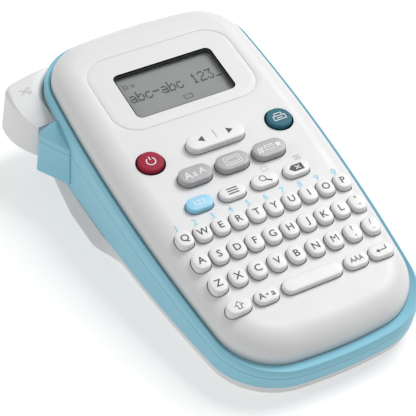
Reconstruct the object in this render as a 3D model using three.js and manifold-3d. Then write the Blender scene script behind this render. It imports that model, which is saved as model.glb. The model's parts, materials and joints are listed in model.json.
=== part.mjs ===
// A hand-held label maker: a wedge-shaped body with a keyboard and a display on its sloping face,
// a cutter lever at the corner of the display end and a tape exit beside it.
//
// Millimetres. The finished object stands on z = 0, centred on its bounding box, with +X to the right
// and +Y towards the display end. Nearly everything is drawn in the "face frame": u runs to the right,
// v towards the display end and n straight out of the key face, with the flat of the face at n = 0.
import * as THREE from 'three';
import { mergeVertices } from 'three/addons/utils/BufferGeometryUtils.js';
import { ConvexGeometry } from 'three/addons/geometries/ConvexGeometry.js';
import Module from 'manifold-3d';

const wasm = await Module();
wasm.setup();

// ---- driving dimensions -------------------------------------------------------------------------

const FACE_TILT = THREE.MathUtils.degToRad(9.65); // the display end stands higher
const FACE_HEIGHT = 42.1;                         // face centre above the table

// Plan of the top cover: four shallow arcs joined by corner arcs.
const HALF_WIDTH = 52.3;
const WIDEST_AT = 29;
const SIDE_RADIUS = 900;
const USER_END = -98.8;
const DISPLAY_END = 104.5;
const BODY_USER_END = -101.6; // the blue shells have the same plan, but reach further here
const USER_END_RADIUS = 200;
const DISPLAY_END_RADIUS = 300;
const USER_CORNER = 28;
const DISPLAY_CORNER = 24;

// Shells, as sideways offsets from that plan.
const GAP = 0.3;          // between pieces that touch
const WALL = 2;
const ROLL_WIDTH = 12;    // how far in from the edge the cover starts to roll down
const ROLL_DEPTH = 10.3;
const COVER_SKIRT = -11.6;
const BAND_PROUD = 3.4;   // blue shells stand this far outside the cover
const BAND_RIDGE = 2.1;   // the band's highest line, offset from the cover
const BAND_TOP = -9.6;
const BAND_SHOULDER = -11.6;

// The parting line between the band and the housing falls away towards the display end.
const PARTING_DEPTH = 13.4;
const PARTING_SLOPE = 0.052;

// Heights above the table.
const HOUSING_FOOT = 5.3;
const BASE_TOP = 5;
const BASE_FLOOR = 2;
const BASE_INSET = 1;     // the base is set in from the housing in the user's half
const BASE_FLARE = 6.4;   // and its foot flares out on both sides of the display half
const FLARE_FROM = -4;
const FLARE_FULL = 18;
const FLARE_WANES = 40;

// Window and display.
const WINDOW = { u: 0, v: 56.4, width: 51, height: 28.4, corner: 2.6 };
const WINDOW_DEPTH = 2;
const LENS_THICKNESS = 1.4;
const PANEL_THICKNESS = 2.6;

// Keys.
const KEY_TRAVEL = 1.2;
const KEY_FOOT = -3.4;    // underside of a key at rest
const KEY_CLEARANCE = 0.3;
const KEY_DOME = 1;
const ROW_PITCH = 13.48;
const TOP_ROW = -30;
const SMALL_KEY = { width: 7.8, height: 9.6, top: 2.6 };
const PILL_KEY = { width: 13, height: 7.8, top: 2.4 };
const GREY_KEY = { width: 16.4, height: 9.6, top: 3.2 };
const CURSOR_KEY = { width: 29.4, height: 9.6, top: 3.4 };
const ROUND_KEY = { width: 12, height: 12, top: 2 };

// Keypad and circuit board under the keys.
const SHEET_TOP = KEY_FOOT - KEY_TRAVEL - GAP;
const BOARD_TOP = -8.6;
const BOARD_THICKNESS = 1.6;

// Cutter lever, in its bay at the left corner of the display end.
const LEVER_TOP = -15;
const LEVER_STEP = -16;   // next to the body the lever steps down, to pass under the band
const LEVER_STEP_OUT = 8.2; // where that step is, as an offset from the plan
const LEVER_FOOT = -39.5;
const LEVER_FLARE = 2.6;  // how far its outer side leans out at the foot
const LEVER_PIVOT = { u: -48.5, v: 97, radius: 4.2 };
const BAY_CLEARANCE = 0.6;
const BAY_INNER = -46;
const BAY_NEAR = 68;

// Tape path: the tape leaves along -u, with its width along n.
const TAPE_LINE = 69.7;
const TAPE_TOP = -29;
const TAPE_FOOT = -41;
const SLOT_WIDTH = 1.4;

// Cutter blade: a plate across the tape path.
const BLADE = { u: -48.4, thickness: 0.6, edge: 71.2, slant: 1, back: 77, top: -27.5, foot: -41.6 };

// Print drive.
const GEAR_MODULE = 0.7;
const PLATEN = { u: -40, v: 73.4, radius: 3.5, teeth: 12 };
const DRIVE = { u: -31.45, v: 82.75, teeth: 24 };
const GEAR_TOP = -46;
const GEAR_THICKNESS = 2;

// AAA cells.
const CELL = { radius: 5.25, length: 44.5, pitch: 10.3 };

// ---- materials ----------------------------------------------------------------------------------

const finish = (color, roughness, metalness = 0) =>
  new THREE.MeshStandardMaterial({ color, roughness, metalness });

const FINISHES = {
  whiteShell: () => finish(0xebecee, 0.45),
  blueShell: () => finish(0x94bacd, 0.42),
  whiteKey: () => finish(0xf2f2f3, 0.4),
  greyKey: () => finish(0xaaaaac, 0.42),
  blueKey: () => finish(0x96cde6, 0.4),
  redKey: () => finish(0xa52d46, 0.4),
  tealKey: () => finish(0x3c7382, 0.4),
  clear: () => finish(0xd8dcd8, 0.1),
  liquidCrystal: () => finish(0x8c8e8a, 0.3),
  silicone: () => finish(0xd5d5d5, 0.7),
  laminate: () => finish(0x2f6b45, 0.5),
  steel: () => finish(0xc4c6c8, 0.25, 0.9),
  blackPlastic: () => finish(0x2a2b2d, 0.5),
  greyPlastic: () => finish(0xb9bbbd, 0.5),
  blackRubber: () => finish(0x1d1d1f, 0.85),
};

// ---- solids -------------------------------------------------------------------------------------

function toSolid(geometry) {
  const bare = geometry.clone();
  bare.deleteAttribute('normal');
  bare.deleteAttribute('uv');
  const merged = mergeVertices(bare, 1e-4);
  const vertProperties = new Float32Array(merged.attributes.position.array);
  const triVerts = new Uint32Array(merged.index.array);
  return new wasm.Manifold(new wasm.Mesh({ numProp: 3, vertProperties, triVerts }));
}

function toGeometry(solid) {
  const mesh = solid.getMesh();
  const geometry = new THREE.BufferGeometry();
  geometry.setAttribute('position', new THREE.BufferAttribute(mesh.vertProperties, 3));
  geometry.setIndex(new THREE.BufferAttribute(mesh.triVerts, 1));
  geometry.computeVertexNormals();
  return geometry;
}

// A prism standing on the outline, from n = low to n = high.
function prism(points, low, high) {
  const options = { depth: high - low, bevelEnabled: false };
  const geometry = new THREE.ExtrudeGeometry(new THREE.Shape(points), options);
  return toSolid(geometry.translate(0, 0, low));
}

function block(u0, u1, v0, v1, n0, n1) {
  const geometry = new THREE.BoxGeometry(u1 - u0, v1 - v0, n1 - n0);
  return toSolid(geometry.translate((u0 + u1) / 2, (v0 + v1) / 2, (n0 + n1) / 2));
}

// A rod along n.
function rod(u, v, radius, low, high, sides = 20) {
  const geometry = new THREE.CylinderGeometry(radius, radius, high - low, sides);
  return toSolid(geometry.rotateX(Math.PI / 2).translate(u, v, (low + high) / 2));
}

// A closed skin over rings of equal length, given from the lowest to the highest.
function loft(rings) {
  const count = rings[0].length;
  const positions = rings.flat().flatMap((p) => [p.x, p.y, p.z]);
  const index = [];
  for (let ring = 0; ring < rings.length - 1; ring++) {
    for (let i = 0; i < count; i++) {
      const a = ring * count + i;
      const b = ring * count + (i + 1) % count;
      index.push(a, b, b + count, a, b + count, a + count);
    }
  }
  const last = (rings.length - 1) * count;
  for (let i = 1; i < count - 1; i++) {
    index.push(0, i + 1, i, last, last + i, last + i + 1);
  }
  const geometry = new THREE.BufferGeometry();
  geometry.setAttribute('position', new THREE.Float32BufferAttribute(positions, 3));
  geometry.setIndex(index);
  return toSolid(geometry);
}

const faceToTable = new THREE.Matrix4().makeRotationX(FACE_TILT).setPosition(0, 0, FACE_HEIGHT);
const tableToFace = faceToTable.clone().invert();
const HUGE = 400;

// All that lies between two heights above the table.
function tableSlab(low, high) {
  const geometry = new THREE.BoxGeometry(HUGE, HUGE, high - low);
  geometry.translate(0, 0, (low + high) / 2).applyMatrix4(tableToFace);
  return toSolid(geometry);
}

const partingAt = (v) => -PARTING_DEPTH - (v - BODY_USER_END) * PARTING_SLOPE;

// All that lies between two distances above (or, if negative, below) the parting plane.
function partingSlab(low, high) {
  const geometry = new THREE.BoxGeometry(HUGE, HUGE, high - low);
  geometry.translate(0, 0, (low + high) / 2).rotateX(-Math.atan(PARTING_SLOPE));
  return toSolid(geometry.translate(0, 0, partingAt(0)));
}

// ---- plan outlines ------------------------------------------------------------------------------

function circlesMeet(centreA, radiusA, centreB, radiusB, side) {
  const line = centreB.clone().sub(centreA);
  const apart = line.length();
  const along = (apart * apart + radiusA * radiusA - radiusB * radiusB) / (2 * apart);
  const across = Math.sqrt(radiusA * radiusA - along * along) * side;
  line.normalize();
  return new THREE.Vector2(
    centreA.x + line.x * along - line.y * across,
    centreA.y + line.y * along + line.x * across,
  );
}

const angleTo = (from, to) => Math.atan2(to.y - from.y, to.x - from.x);

// The arcs of the right-hand half of the plan, from the user's end round to the display end.
function planArcs(userEnd) {
  const side = new THREE.Vector2(HALF_WIDTH - SIDE_RADIUS, WIDEST_AT);
  const user = new THREE.Vector2(0, userEnd + USER_END_RADIUS);
  const display = new THREE.Vector2(0, DISPLAY_END - DISPLAY_END_RADIUS);
  const lower = circlesMeet(
    side, SIDE_RADIUS - USER_CORNER, user, USER_END_RADIUS - USER_CORNER, -1);
  const upper = circlesMeet(
    side, SIDE_RADIUS - DISPLAY_CORNER, display, DISPLAY_END_RADIUS - DISPLAY_CORNER, 1);
  const quarter = Math.PI / 2;
  return [
    { centre: user, radius: USER_END_RADIUS, from: -quarter, to: angleTo(user, lower), steps: 3 },
    { centre: lower, radius: USER_CORNER, from: angleTo(user, lower), to: angleTo(side, lower), steps: 7 },
    { centre: side, radius: SIDE_RADIUS, from: angleTo(side, lower), to: angleTo(side, upper), steps: 6 },
    { centre: upper, radius: DISPLAY_CORNER, from: angleTo(side, upper), to: angleTo(display, upper), steps: 7 },
    { centre: display, radius: DISPLAY_END_RADIUS, from: angleTo(display, upper), to: quarter, steps: 3 },
  ];
}

const COVER_ARCS = planArcs(USER_END);
const BODY_ARCS = planArcs(BODY_USER_END);

// A plan, moved out (or in) by an offset, as points running anticlockwise.
function outline(arcs, offset, finer = 1) {
  const right = [];
  for (const arc of arcs) {
    const steps = arc.steps * finer;
    for (let i = 0; i < steps; i++) {
      const angle = THREE.MathUtils.lerp(arc.from, arc.to, i / steps);
      right.push(new THREE.Vector2(
        arc.centre.x + (arc.radius + offset) * Math.cos(angle),
        arc.centre.y + (arc.radius + offset) * Math.sin(angle),
      ));
    }
  }
  const top = new THREE.Vector2(0, DISPLAY_END + offset);
  const left = right.slice(1).reverse().map((p) => new THREE.Vector2(-p.x, p.y));
  return [...right, top, ...left];
}

const coverPlan = (offset) => outline(COVER_ARCS, offset);
const bodyPlan = (offset) => outline(BODY_ARCS, offset);
const atHeight = (points, n) => points.map((p) => new THREE.Vector3(p.x, p.y, n));

// A body whose plan offset changes with height: [offset, n] pairs, lowest first.
const planLoft = (plan, levels) => loft(levels.map(([offset, n]) => atHeight(plan(offset), n)));

// An oval between an ellipse and a rectangle.
function oval(width, height, steps, exponent) {
  const points = [];
  for (let i = 0; i < steps; i++) {
    const angle = (i + 0.5) * 2 * Math.PI / steps;
    const c = Math.cos(angle);
    const s = Math.sin(angle);
    points.push(new THREE.Vector2(
      width / 2 * Math.sign(c) * Math.abs(c) ** (2 / exponent),
      height / 2 * Math.sign(s) * Math.abs(s) ** (2 / exponent),
    ));
  }
  return points;
}

// A rectangle with round corners; with a corner of half its height it is a pill.
function rounded(width, height, corner, steps = 4) {
  const points = [];
  const u = width / 2 - corner;
  const v = height / 2 - corner;
  for (const [signU, signV, start] of [[1, 1, 0], [-1, 1, 1], [-1, -1, 2], [1, -1, 3]]) {
    for (let i = 0; i <= steps; i++) {
      const angle = (start + i / steps) * Math.PI / 2;
      points.push(new THREE.Vector2(
        signU * u + corner * Math.cos(angle),
        signV * v + corner * Math.sin(angle),
      ));
    }
  }
  return points;
}

const moved = (points, u, v) => points.map((p) => new THREE.Vector2(p.x + u, p.y + v));

// ---- keys ---------------------------------------------------------------------------------------

// Where every key stands: name, kind, position and finish.
function keyList() {
  const keys = [];
  const add = (name, size, u, v, colour, shape) => keys.push({ name, size, u, v, colour, shape });
  const row = (names, pitch, shift, v) => names.forEach((name, i) => {
    const u = (i - (names.length - 1) / 2) * pitch + shift;
    add(`key_${name}`, SMALL_KEY, u, v, 'whiteKey', 'oval');
  });
  add('key_power', ROUND_KEY, -33.2, 15.3, 'redKey', 'pill');
  add('key_print', ROUND_KEY, 33.2, 15.3, 'tealKey', 'pill');
  add('key_cursor', CURSOR_KEY, 0, 16, 'whiteKey', 'pill');
  ['font', 'frame', 'symbol'].forEach((name, i) => {
    add(`key_${name}`, GREY_KEY, (i - 1) * 18.9, 0, 'greyKey', 'pill');
  });
  ['num', 'menu', 'preview', 'delete'].forEach((name, i) => {
    add(`key_${name}`, PILL_KEY, (i - 1.5) * 16.4, -15.1, i ? 'whiteKey' : 'blueKey', 'pill');
  });
  row([...'qwertyuiop'], 8.85, 0, TOP_ROW);
  row([...'asdfghjkl', 'dash'], 8.7, 0.2, TOP_ROW - ROW_PITCH);
  row([...'zxcvbnm', 'comma', 'period'], 9.51, 0, TOP_ROW - 2 * ROW_PITCH);
  const lastRow = TOP_ROW - 3 * ROW_PITCH;
  const wide = (width) => ({ width, height: 7.4, top: 2.4 });
  add('key_shift', wide(11.4), -35.6, lastRow, 'whiteKey', 'pill');
  add('key_caps', wide(11.4), -22.3, lastRow, 'whiteKey', 'pill');
  add('key_space', wide(29), 0, lastRow, 'whiteKey', 'pill');
  add('key_accent', wide(11.4), 21.9, lastRow, 'whiteKey', 'pill');
  add('key_enter', wide(12), 34.6, lastRow, 'whiteKey', 'pill');
  return keys;
}

const KEYS = keyList();

function keyOutline(key, margin) {
  const width = key.size.width + 2 * margin;
  const height = key.size.height + 2 * margin;
  if (key.shape === 'oval') return oval(width, height, 12, 2.5);
  return rounded(width, height, height / 2 - 0.01, width === height ? 4 : 3);
}

// A key is a straight plunger with a rounded shoulder.
function keySolid(key) {
  const { top } = key.size;
  const side = keyOutline(key, 0);
  const shoulder = keyOutline(key, -KEY_DOME);
  return loft([
    atHeight(side, KEY_FOOT),
    atHeight(side, top - KEY_DOME * 0.8),
    atHeight(shoulder, top),
  ]);
}

// ---- shells -------------------------------------------------------------------------------------

// Levels of the cover's rolled edge, lowest first, moved in by an inset and down by a drop.
function rollLevels(inset, drop, steps) {
  const levels = [];
  for (let i = 0; i <= steps; i++) {
    const angle = i / steps * Math.PI / 2;
    const across = ROLL_WIDTH * (1 - Math.cos(angle));
    levels.push([-inset - across, -drop - ROLL_DEPTH * (1 - Math.sin(angle))]);
  }
  return levels;
}

const windowOutline = (margin) => moved(
  rounded(WINDOW.width + 2 * margin, WINDOW.height + 2 * margin, WINDOW.corner + margin),
  WINDOW.u, WINDOW.v);

function topCover() {
  const hollow = [[-WALL, COVER_SKIRT - 2], ...rollLevels(WALL, WALL, 4)];
  let cover = planLoft(coverPlan, [[0, COVER_SKIRT], ...rollLevels(0, 0, 5)]);
  cover = cover.subtract(planLoft(coverPlan, hollow));
  cover = cover.add(prism(windowOutline(WALL), -WINDOW_DEPTH, -WALL / 2));
  cover = cover.subtract(prism(windowOutline(0), -WINDOW_DEPTH - 1, 1));
  for (const key of KEYS) {
    const hole = moved(keyOutline(key, KEY_CLEARANCE), key.u, key.v);
    cover = cover.subtract(prism(hole, COVER_SKIRT - 1, 1));
  }
  return cover;
}

// The tape exit stands out from the left side as a wedge-shaped hood. Its near face runs out at a slant.
function exitHood() {
  const inner = -50;
  const side = -56.2;
  const near = 51.5;
  const far = 67.4;
  const foot = -42.5;
  const top = -17;
  const points = [
    [side, near, top - 1], [side, near, foot],
    [inner, near, top - 1], [inner, near, foot],
    [-64.6, far - 1.4, top - 1], [-66.3, far - 1.4, foot],
    [-64.4, far, top], [-66.3, far, foot],
    [side, far, top + 3], [inner, far, top + 3], [inner, far, foot],
  ];
  return toSolid(new ConvexGeometry(points.map((p) => new THREE.Vector3(...p))));
}

// The lever's plan: a thumb paddle with a convex outer side, round its pivot at the inner end.
// The flare moves its outer side out, most of all at the corner of the display end.
function leverPlan(flare) {
  const { u, v, radius } = LEVER_PIVOT;
  const shape = new THREE.Shape();
  shape.moveTo(-63, 71.6);
  shape.lineTo(-53.5, 71.6);
  shape.lineTo(-53.2, 86);
  shape.lineTo(-51.8, 92);
  shape.absarc(u, v, radius, Math.PI * 1.25, Math.PI * 2, false);
  shape.lineTo(u + radius, 104.2);
  shape.lineTo(-60.5, 101.4);
  shape.quadraticCurveTo(-67.4 - flare, 100.2, -69 - flare, 96.6);
  shape.quadraticCurveTo(-71.6 - flare, 84, -63, 71.6);
  return shape.getPoints(6).slice(0, -1);
}

// Towards the user the lever's top falls away, most of all on its outer side.
function leverSlope() {
  const points = [];
  for (const [v, outer, inner] of [[89, 0, 0], [67, -6.4, -3.6]]) {
    points.push([-75, v, LEVER_TOP + outer], [-53, v, LEVER_TOP + inner], [-75, v, 0], [-53, v, 0]);
  }
  return toSolid(new ConvexGeometry(points.map((p) => new THREE.Vector3(...p))));
}

const cutterLever = () => loft([
  atHeight(leverPlan(LEVER_FLARE), LEVER_FOOT),
  atHeight(leverPlan(0), LEVER_TOP),
]).subtract(prism(bodyPlan(LEVER_STEP_OUT), LEVER_STEP, 0)).subtract(leverSlope());

// The bay that the lever swings in, or with a margin, the block that its walls are cut from.
function leverBay(margin, low, high) {
  const { u, v, radius } = LEVER_PIVOT;
  const reach = radius + BAY_CLEARANCE + margin;
  return block(-80, BAY_INNER + margin, BAY_NEAR - margin, 120, low, high)
    .add(block(-80, u + reach, v - reach, 120, low, high));
}

const leverRoom = () => leverBay(0, LEVER_FOOT - BAY_CLEARANCE, LEVER_STEP + GAP);

function upperBand() {
  const outside = [
    [BAND_PROUD, -60], [BAND_PROUD, BAND_SHOULDER],
    [BAND_RIDGE + 0.7, BAND_TOP - 0.3], [BAND_RIDGE, BAND_TOP],
  ];
  const rim = [
    atHeight(bodyPlan(BAND_PROUD - WALL), -61),
    atHeight(bodyPlan(BAND_PROUD - WALL), BAND_SHOULDER - 1),
    atHeight(coverPlan(GAP), BAND_SHOULDER - 0.7),
    atHeight(coverPlan(GAP), BAND_TOP - 1.4),
    atHeight(bodyPlan(BAND_RIDGE - 0.2), BAND_TOP + 0.05),
    atHeight(bodyPlan(BAND_RIDGE - 0.2), 1),
  ];
  const bayRoof = prism(bodyPlan(BAND_PROUD - 1), LEVER_STEP + GAP, LEVER_STEP + GAP + 1.5)
    .intersect(block(-80, -40, BAY_NEAR - 2, 110, -30, 0));
  return planLoft(bodyPlan, outside)
    .add(exitHood())
    .subtract(loft(rim))
    .add(bayRoof)
    .intersect(partingSlab(GAP / 2, 60))
    .subtract(leverRoom());
}

function mainHousing() {
  const outer = prism(bodyPlan(BAND_PROUD), -90, 0).add(exitHood());
  const inner = prism(bodyPlan(BAND_PROUD - WALL), -91, 1);
  const deck = partingSlab(-2.4, -0.6);
  const bayWalls = leverBay(WALL, LEVER_FOOT - BAY_CLEARANCE - 2 * WALL, 0);
  const bladeGroove = block(BLADE.u - GAP, BLADE.u + BLADE.thickness + GAP,
    BAY_NEAR, BLADE.back + GAP, BLADE.foot - GAP, LEVER_STEP);
  const slotNear = TAPE_LINE - SLOT_WIDTH / 2;
  const slot = block(-60, -30, slotNear, slotNear + SLOT_WIDTH, TAPE_FOOT, TAPE_TOP);
  return outer
    .subtract(inner.subtract(deck).subtract(bayWalls))
    .intersect(partingSlab(-HUGE / 2, -GAP / 2))
    .intersect(tableSlab(HOUSING_FOOT, HUGE / 2))
    .subtract(leverRoom())
    .subtract(bladeGroove)
    .subtract(slot);
}

// How far the base's foot flares out at v, as a share of its most.
function flareAt(v) {
  const rise = THREE.MathUtils.smoothstep(v, FLARE_FROM, FLARE_FULL);
  const fall = 1 - Math.max(0, v - FLARE_WANES) / (DISPLAY_END - FLARE_WANES);
  return rise * Math.max(0, fall);
}

// The base's outline at a height above the table, with this much of the flare.
function baseRing(height, share) {
  return outline(BODY_ARCS, BAND_PROUD - BASE_INSET, 3).map((p) => {
    const widened = 1 + share * BASE_FLARE * flareAt(p.y) / (HALF_WIDTH + BAND_PROUD);
    const level = (height - FACE_HEIGHT - p.y * Math.sin(FACE_TILT)) / Math.cos(FACE_TILT);
    return new THREE.Vector3(p.x * widened, p.y, level);
  });
}

function backCover() {
  const hollow = prism(bodyPlan(BAND_PROUD - WALL), -90, 0)
    .intersect(tableSlab(BASE_FLOOR, HUGE / 2));
  return loft([baseRing(0, 1), baseRing(BASE_TOP, 0.2)]).subtract(hollow);
}

// ---- electronics --------------------------------------------------------------------------------

function displayWindow() {
  const high = -WINDOW_DEPTH - GAP;
  const outline = moved(rounded(WINDOW.width + 2.4, WINDOW.height + 2.4, 2), WINDOW.u, WINDOW.v);
  return prism(outline, high - LENS_THICKNESS, high);
}

function lcdPanel() {
  const high = -WINDOW_DEPTH - LENS_THICKNESS - 2 * GAP;
  const { u, v, width, height } = WINDOW;
  return block(u - width / 2 - 2, u + width / 2 + 2, v - height / 2 - 2, v + height / 2 + 2,
    high - PANEL_THICKNESS, high);
}

function keypadSheet() {
  const trim = block(-44.5, 44.5, -79, 26, -20, 0);
  return prism(coverPlan(-7), BOARD_TOP + GAP, SHEET_TOP).intersect(trim);
}

function circuitBoard() {
  const trim = block(-50, 50, -84, 78, -20, 0);
  const low = BOARD_TOP - BOARD_THICKNESS;
  return prism(coverPlan(-5), low, BOARD_TOP)
    .intersect(trim)
    .subtract(block(-60, -36, 60, 90, low - 1, BOARD_TOP + 1));
}

// ---- cutter -------------------------------------------------------------------------------------

// The blade stands across the tape's path and slides along -v. Its edge is at a slant, so that it
// shears the tape from one side to the other, and an arm runs back from it to the lever's pivot.
function cutterBlade() {
  const arm = { end: LEVER_PIVOT.v - LEVER_PIVOT.radius - 1, low: -36, high: -32 };
  const shape = new THREE.Shape();
  shape.moveTo(BLADE.edge + BLADE.slant, BLADE.foot);
  shape.lineTo(BLADE.back, BLADE.foot);
  shape.lineTo(BLADE.back, arm.low);
  shape.lineTo(arm.end, arm.low);
  shape.lineTo(arm.end, arm.high);
  shape.lineTo(BLADE.back, arm.high);
  shape.lineTo(BLADE.back, BLADE.top);
  shape.lineTo(BLADE.edge, BLADE.top);
  const geometry = new THREE.ExtrudeGeometry(shape, { depth: BLADE.thickness, bevelEnabled: false });
  const upright = new THREE.Matrix4().makeBasis(
    new THREE.Vector3(0, 1, 0), new THREE.Vector3(0, 0, 1), new THREE.Vector3(1, 0, 0));
  return toSolid(geometry.applyMatrix4(upright).translate(BLADE.u, 0, 0));
}

// ---- tape drive ---------------------------------------------------------------------------------

function gear(teeth, low, high) {
  const pitchRadius = GEAR_MODULE * teeth / 2;
  const points = [];
  for (let i = 0; i < teeth; i++) {
    for (const [fraction, radial] of [[-0.27, -1.25], [-0.14, 0.9], [0.14, 0.9], [0.27, -1.25]]) {
      const angle = (i + fraction) * 2 * Math.PI / teeth;
      const radius = pitchRadius + radial * GEAR_MODULE;
      points.push(new THREE.Vector2(radius * Math.cos(angle), radius * Math.sin(angle)));
    }
  }
  return prism(points, low, high);
}

const turned = (solid, degrees, u, v) => solid.rotate([0, 0, degrees]).translate([u, v, 0]);

// The angle from the roller to the drive gear sets how their teeth interleave.
const meshAngle = Math.atan2(DRIVE.v - PLATEN.v, DRIVE.u - PLATEN.u);

function platenRoller() {
  const toward = THREE.MathUtils.radToDeg(meshAngle);
  const teeth = gear(PLATEN.teeth, GEAR_TOP - GEAR_THICKNESS, GEAR_TOP);
  return turned(teeth, toward, PLATEN.u, PLATEN.v)
    .add(rod(PLATEN.u, PLATEN.v, PLATEN.radius, TAPE_FOOT - 1, TAPE_TOP + 1))
    .add(rod(PLATEN.u, PLATEN.v, 1.2, GEAR_TOP - 1, TAPE_TOP + 1.6, 10));
}

function driveGear() {
  const facing = THREE.MathUtils.radToDeg(meshAngle) + 180;
  const halfTooth = 180 / DRIVE.teeth;
  const teeth = gear(DRIVE.teeth, GEAR_TOP - GEAR_THICKNESS, GEAR_TOP);
  return turned(teeth, facing + halfTooth, DRIVE.u, DRIVE.v);
}

const driveMotor = () => rod(DRIVE.u, DRIVE.v, 7, GEAR_TOP + 2.2, -27.5)
  .add(rod(DRIVE.u, DRIVE.v, 1, GEAR_TOP + GAP, GEAR_TOP + 3, 8));

const printHead = () => block(-43, -36.6, TAPE_LINE - 3.2, TAPE_LINE - 0.4, TAPE_FOOT, TAPE_TOP)
  .add(block(-42, -37.6, TAPE_LINE - 6, TAPE_LINE - 3, TAPE_FOOT - 3, TAPE_TOP + 1));

function tapeCassette() {
  const body = prism(moved(rounded(78, 49, 3), 7, 49), -44.4, -26.4);
  return body.subtract(block(-33, -29, 70.5, 75, -45, -26));
}

// Six cells in three rows, standing on the base's floor.
function batteries() {
  const { radius, length, pitch } = CELL;
  const cells = [];
  for (let row = -1; row <= 1; row++) {
    for (const side of [-1, 1]) {
      const cell = new THREE.CylinderGeometry(radius, radius, length, 16).rotateZ(Math.PI / 2);
      const nub = new THREE.CylinderGeometry(1.9, 1.9, 2, 8).rotateZ(Math.PI / 2);
      const height = BASE_FLOOR + GAP + radius;
      const across = side * (length + 1) / 2;
      cells.push(toSolid(cell.translate(across, row * pitch - 36, height)));
      cells.push(toSolid(nub.translate(0, row * pitch - 36, height)));
    }
  }
  return wasm.Manifold.union(cells);
}

// ---- assembly -----------------------------------------------------------------------------------

const labelMaker = new THREE.Group();
const face = new THREE.Group();
face.rotation.x = FACE_TILT;
face.position.z = FACE_HEIGHT;
labelMaker.add(face);

function place(group, name, solid, colour, u = 0, v = 0) {
  const mesh = new THREE.Mesh(toGeometry(solid), FINISHES[colour]());
  mesh.name = name;
  mesh.position.set(u, v, 0);
  group.add(mesh);
}

place(face, 'top_cover', topCover(), 'whiteShell');
place(face, 'upper_band', upperBand(), 'blueShell');
place(face, 'main_housing', mainHousing(), 'blueShell');
place(face, 'back_cover', backCover(), 'whiteShell');
place(face, 'display_window', displayWindow(), 'clear');
place(face, 'lcd_panel', lcdPanel(), 'liquidCrystal');
place(face, 'keypad_sheet', keypadSheet(), 'silicone');
place(face, 'circuit_board', circuitBoard(), 'laminate');
place(face, 'cutter_lever', cutterLever(), 'whiteShell');
place(face, 'cutter_blade', cutterBlade(), 'steel');
place(face, 'tape_cassette', tapeCassette(), 'greyPlastic');
place(face, 'print_head', printHead(), 'steel');
place(face, 'platen_roller', platenRoller(), 'blackRubber');
place(face, 'drive_gear', driveGear(), 'greyPlastic');
place(face, 'drive_motor', driveMotor(), 'steel');
place(labelMaker, 'batteries', batteries(), 'blackPlastic');
for (const key of KEYS) {
  place(face, key.name, keySolid(key), key.colour, key.u, key.v);
}

// The origin is the middle of the bounding box, on the table.
labelMaker.updateMatrixWorld(true);
const extent = new THREE.Box3().setFromObject(labelMaker, true);
const middle = extent.getCenter(new THREE.Vector3());
for (const child of labelMaker.children) {
  child.position.x -= middle.x;
  child.position.y -= middle.y;
  child.position.z -= extent.min.z;
}

export default labelMaker;
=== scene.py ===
"""Looks of the hand-held label maker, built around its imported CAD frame.

Shapes are drawn in the key face's own frame, in millimetres: u runs to the right, v towards the
display end and n straight out of the face, with the flat of the face at n = 0. The matrix FACE
turns them into the part's frame, in metres.
"""

import json
import math

import bmesh
import bpy
import numpy as np
from mathutils import Matrix, Vector
from mathutils.geometry import delaunay_2d_cdt


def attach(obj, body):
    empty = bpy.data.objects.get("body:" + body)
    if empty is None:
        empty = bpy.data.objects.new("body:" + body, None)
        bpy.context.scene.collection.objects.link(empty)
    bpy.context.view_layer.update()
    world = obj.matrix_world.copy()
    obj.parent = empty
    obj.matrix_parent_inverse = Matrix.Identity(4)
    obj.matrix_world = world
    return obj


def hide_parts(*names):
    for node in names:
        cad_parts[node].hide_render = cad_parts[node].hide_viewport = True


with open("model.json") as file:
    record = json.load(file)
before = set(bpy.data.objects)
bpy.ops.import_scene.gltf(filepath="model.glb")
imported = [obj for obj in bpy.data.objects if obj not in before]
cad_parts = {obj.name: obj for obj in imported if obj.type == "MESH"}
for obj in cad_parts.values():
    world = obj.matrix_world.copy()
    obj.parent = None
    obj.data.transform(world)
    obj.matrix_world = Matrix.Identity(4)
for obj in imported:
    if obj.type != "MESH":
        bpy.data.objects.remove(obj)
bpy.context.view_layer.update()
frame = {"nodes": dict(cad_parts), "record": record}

# ---- driving dimensions, in millimetres ----

MM = 0.001
FACE_TILT = math.radians(9.65)
WINDOW_TOP = -2.3         # top of the display window's CAD node, below the face
WINDOW_V = 56.4           # and its middle, from the middle of the face

# Plan: four shallow arcs joined by corner arcs.
HALF_WIDTH = 52.3
WIDEST_AT = 29
SIDE_RADIUS = 900
COVER_USER_END = -98.8
BODY_USER_END = -101.6
DISPLAY_END = 104.5
USER_END_RADIUS = 200
DISPLAY_END_RADIUS = 300
USER_CORNER = 28
DISPLAY_CORNER = 24
PLAN_SPACING = 1.6        # distance between points along a plan
ANGLE_SLACK = 1e-5        # keeps points on the border of two arcs

# Shells.
GAP = 0.3
WALL = 2
EDGE = 0.15               # size of the small rounding on the shells' edges
ROLL_WIDTH = 12           # the cover's rolled edge
ROLL_DEPTH = 10.3
COVER_SKIRT = -11.6
BAND_PROUD = 3.4
BAND_RIDGE = 2.1
BAND_TOP = -9.6
COVER_GAP = 0.15          # between the cover and the band
PARTING_GAP = 0.2         # between the band and the housing
PARTING_DEPTH = 13.4
PARTING_SLOPE = 0.052
DECK_DEPTH = 2.4          # the housing's deck, below the parting plane
HOUSING_FOOT = 5.3
BASE_TOP = 5
BASE_FLOOR = 2
BASE_INSET = 1
BASE_FLARE = 6.4          # the base's foot flares out on both sides of the display half
FLARE_FROM = -4
FLARE_FULL = 18
FLARE_WANES = 40

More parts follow.
